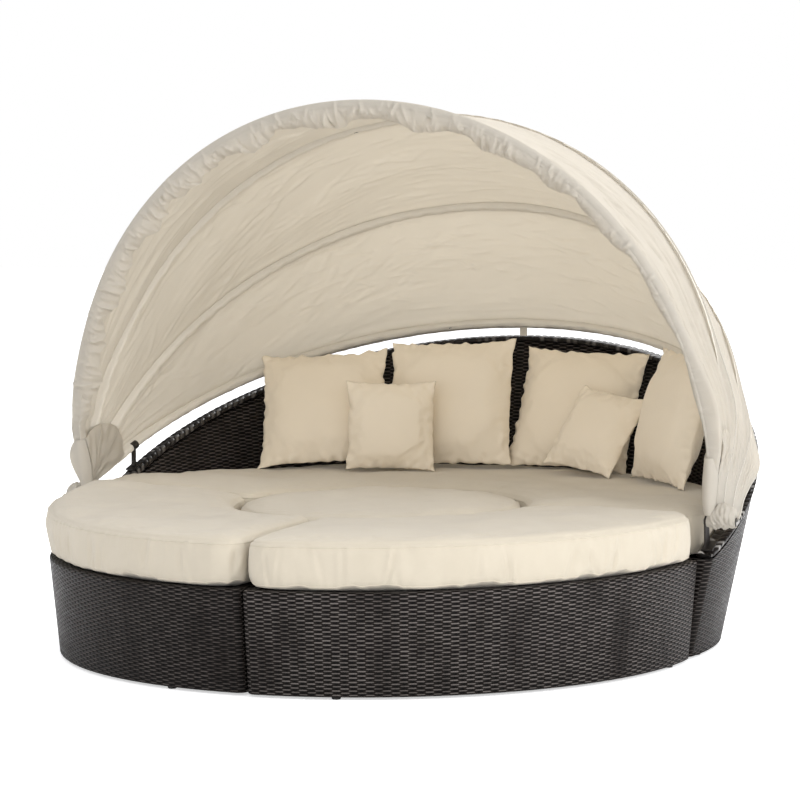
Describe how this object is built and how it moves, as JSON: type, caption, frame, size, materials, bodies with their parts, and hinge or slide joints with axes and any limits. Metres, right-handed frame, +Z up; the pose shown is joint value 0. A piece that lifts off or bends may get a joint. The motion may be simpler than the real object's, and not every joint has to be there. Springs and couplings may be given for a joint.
{
  "type": "canopy daybed",
  "caption": "Round sectional outdoor daybed in woven wicker with a swept-up backrest, thick seat cushions, throw pillows and a folding fabric canopy on nested tube bows.",
  "frame": {"origin": "middle of the overall outline, on the floor", "axes": "+Z up, the open front of the bed faces -Y, +X to the right seen from the front"},
  "size_m": [2.2662, 2.4022, 1.6869],
  "materials": {
    "weave": "flat synthetic wicker, dark brown, slight sheen",
    "tube": "round tube, dark bronze powder coat",
    "deck": "slotted plate, dark powder coat",
    "cushion_fabric": "woven outdoor fabric, beige",
    "pillow_fabric": "woven outdoor fabric, beige and olive",
    "canopy_fabric": "thin light beige cloth, a little translucent",
    "glide": "black plastic glide",
    "steel": "turned pin"
  },
  "bodies": {
    "back_sofa": {"back_outer_wicker": "weave", "back_lining_wicker": "weave", "back_base_wicker": "weave", "back_rim": "weave", "back_floor_hoop": "tube", "back_seat_frame": "tube", "back_wall_frame": "tube", "back_deck": "deck", "back_cushion": "cushion_fabric", "back_foot_1": "glide", "back_foot_2": "glide", "back_foot_3": "glide", "back_foot_4": "glide", "back_foot_5": "glide", "back_foot_6": "glide", "large_pillow_1": "pillow_fabric", "large_pillow_2": "pillow_fabric", "large_pillow_3": "pillow_fabric", "large_pillow_4": "pillow_fabric", "small_pillow_1": "pillow_fabric", "small_pillow_2": "pillow_fabric", "pivot_bracket_right": "tube", "pivot_bracket_left": "tube", "pivot_pin_right": "steel", "pivot_pin_left": "steel", "rear_bow_clamp_right": "tube", "rear_bow_clamp_left": "tube", "rear_bow": "tube", "rear_tie_strap": "canopy_fabric", "canopy_rear_panel": "canopy_fabric"},
    "third_bow": {"third_bow": "tube", "canopy_middle_panel": "canopy_fabric"},
    "second_bow": {"second_bow": "tube", "canopy_front_panel": "canopy_fabric"},
    "front_bow": {"front_bow": "tube"},
    "left_ottoman": {"left_ottoman_wicker": "weave", "left_ottoman_frame": "tube", "left_ottoman_deck": "deck", "left_ottoman_cushion": "cushion_fabric", "left_ottoman_foot_1": "glide", "left_ottoman_foot_2": "glide", "left_ottoman_foot_3": "glide", "left_ottoman_foot_4": "glide"},
    "right_ottoman": {"right_ottoman_wicker": "weave", "right_ottoman_frame": "tube", "right_ottoman_deck": "deck", "right_ottoman_cushion": "cushion_fabric", "right_ottoman_foot_1": "glide", "right_ottoman_foot_2": "glide", "right_ottoman_foot_3": "glide", "right_ottoman_foot_4": "glide"},
    "middle_ottoman": {"middle_ottoman_wicker": "weave", "middle_ottoman_frame": "tube", "middle_ottoman_deck": "deck", "middle_ottoman_cushion": "cushion_fabric", "middle_ottoman_foot_1": "glide", "middle_ottoman_foot_2": "glide", "middle_ottoman_foot_3": "glide", "middle_ottoman_foot_4": "glide"}
  },
  "joints": [
    {"name": "third_fold", "type": "hinge", "parent": "back_sofa", "child": "third_bow", "pos_m": [0, -0.11863, 0.418], "axis": [1, 0, 0], "range_deg": [-14.3, 0], "deforming": ["canopy_rear_panel"]},
    {"name": "second_fold", "type": "hinge", "parent": "third_bow", "child": "second_bow", "pos_m": [0, -0.11863, 0.418], "axis": [1, 0, 0], "range_deg": [-18.3, 0], "deforming": ["canopy_middle_panel"]},
    {"name": "front_fold", "type": "hinge", "parent": "second_bow", "child": "front_bow", "pos_m": [0, -0.11863, 0.418], "axis": [1, 0, 0], "range_deg": [-19.8, 0], "deforming": ["canopy_front_panel"]},
    {"name": "left_ottoman_slide", "type": "slide", "parent": "back_sofa", "child": "left_ottoman", "axis": [-0.7071, -0.7071, 0], "range_m": [0, 0.4]},
    {"name": "right_ottoman_slide", "type": "slide", "parent": "back_sofa", "child": "right_ottoman", "axis": [0.7071, -0.7071, 0], "range_m": [0, 0.4]},
    {"name": "middle_ottoman_lift", "type": "slide", "parent": "back_sofa", "child": "middle_ottoman", "axis": [0, 0, 1], "range_m": [0, 0.35]}
  ],
  "couplings": [
    {"joint": "second_fold", "follows": "third_fold", "ratio": 1.2727},
    {"joint": "front_fold", "follows": "third_fold", "ratio": 1.3776}
  ]
}
